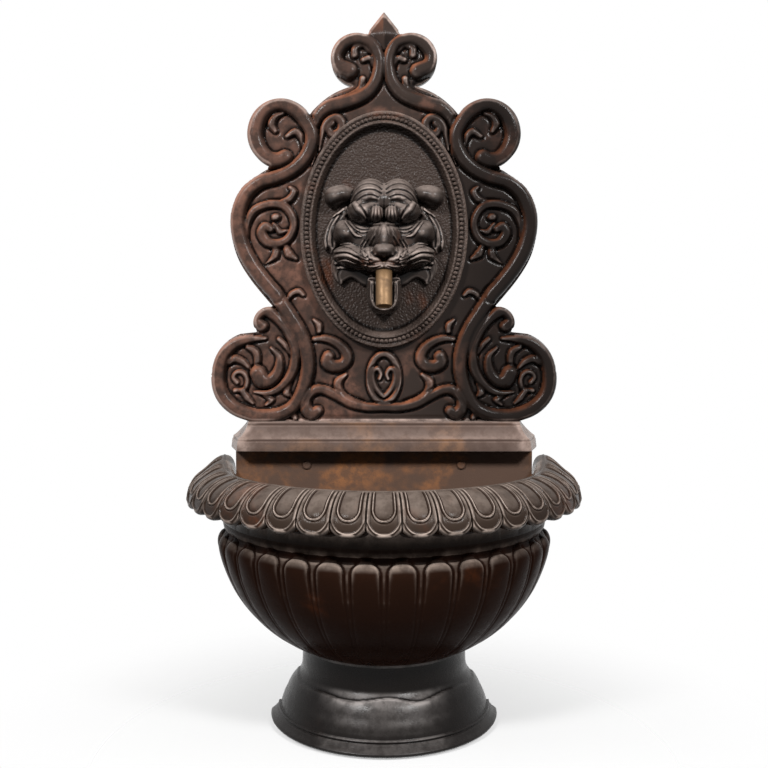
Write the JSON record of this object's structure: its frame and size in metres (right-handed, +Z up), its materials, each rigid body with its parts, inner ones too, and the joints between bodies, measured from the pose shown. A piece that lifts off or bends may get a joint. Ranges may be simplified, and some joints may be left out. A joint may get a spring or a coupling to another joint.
{
  "type": "garden wall fountain",
  "caption": "Half-round cast iron wall fountain: scrolled back plate, oval medallion and lion mask spout over a lobed, gadrooned basin on a flared foot, with a lift-out overflow pipe.",
  "frame": {"origin": "middle of the bottom of the bounding box, on the floor", "axes": "+Z up, +Y towards the wall, the front of the basin faces -Y, +X to the right seen from the front"},
  "size_m": [0.55, 0.275, 0.977],
  "materials": {
    "iron": "dark waxed casting",
    "rivet_iron": "rusted",
    "fastener_steel": "dull",
    "brass": "aged",
    "rubber": "matt"
  },
  "bodies": {
    "fountain": {"foot": "iron", "basin_bowl": "iron", "basin_rim": "iron", "basin_back": "iron", "plinth": "iron", "back_plate": "iron", "oval_medallion": "iron", "lion_mask": "iron", "panel_rivets": "rivet_iron", "rim_dowels": "fastener_steel", "plate_bolts": "fastener_steel", "medallion_screws": "fastener_steel", "mask_studs": "fastener_steel", "mask_nuts": "fastener_steel", "foot_bolts": "fastener_steel", "foot_nuts": "fastener_steel", "spout_pipe": "brass", "spout_locknut": "brass", "drain_flange": "brass", "drain_locknut": "brass", "back_seal": "rubber", "spout_washer": "rubber", "foot_washers": "rubber", "drain_gasket": "rubber"},
    "standpipe": {"overflow_standpipe": "brass", "standpipe_ring": "rubber"}
  },
  "joints": [
    {"name": "standpipe_lift", "type": "slide", "parent": "fountain", "child": "standpipe", "axis": [0, 0, 1], "range_m": [0, 0.06]}
  ]
}
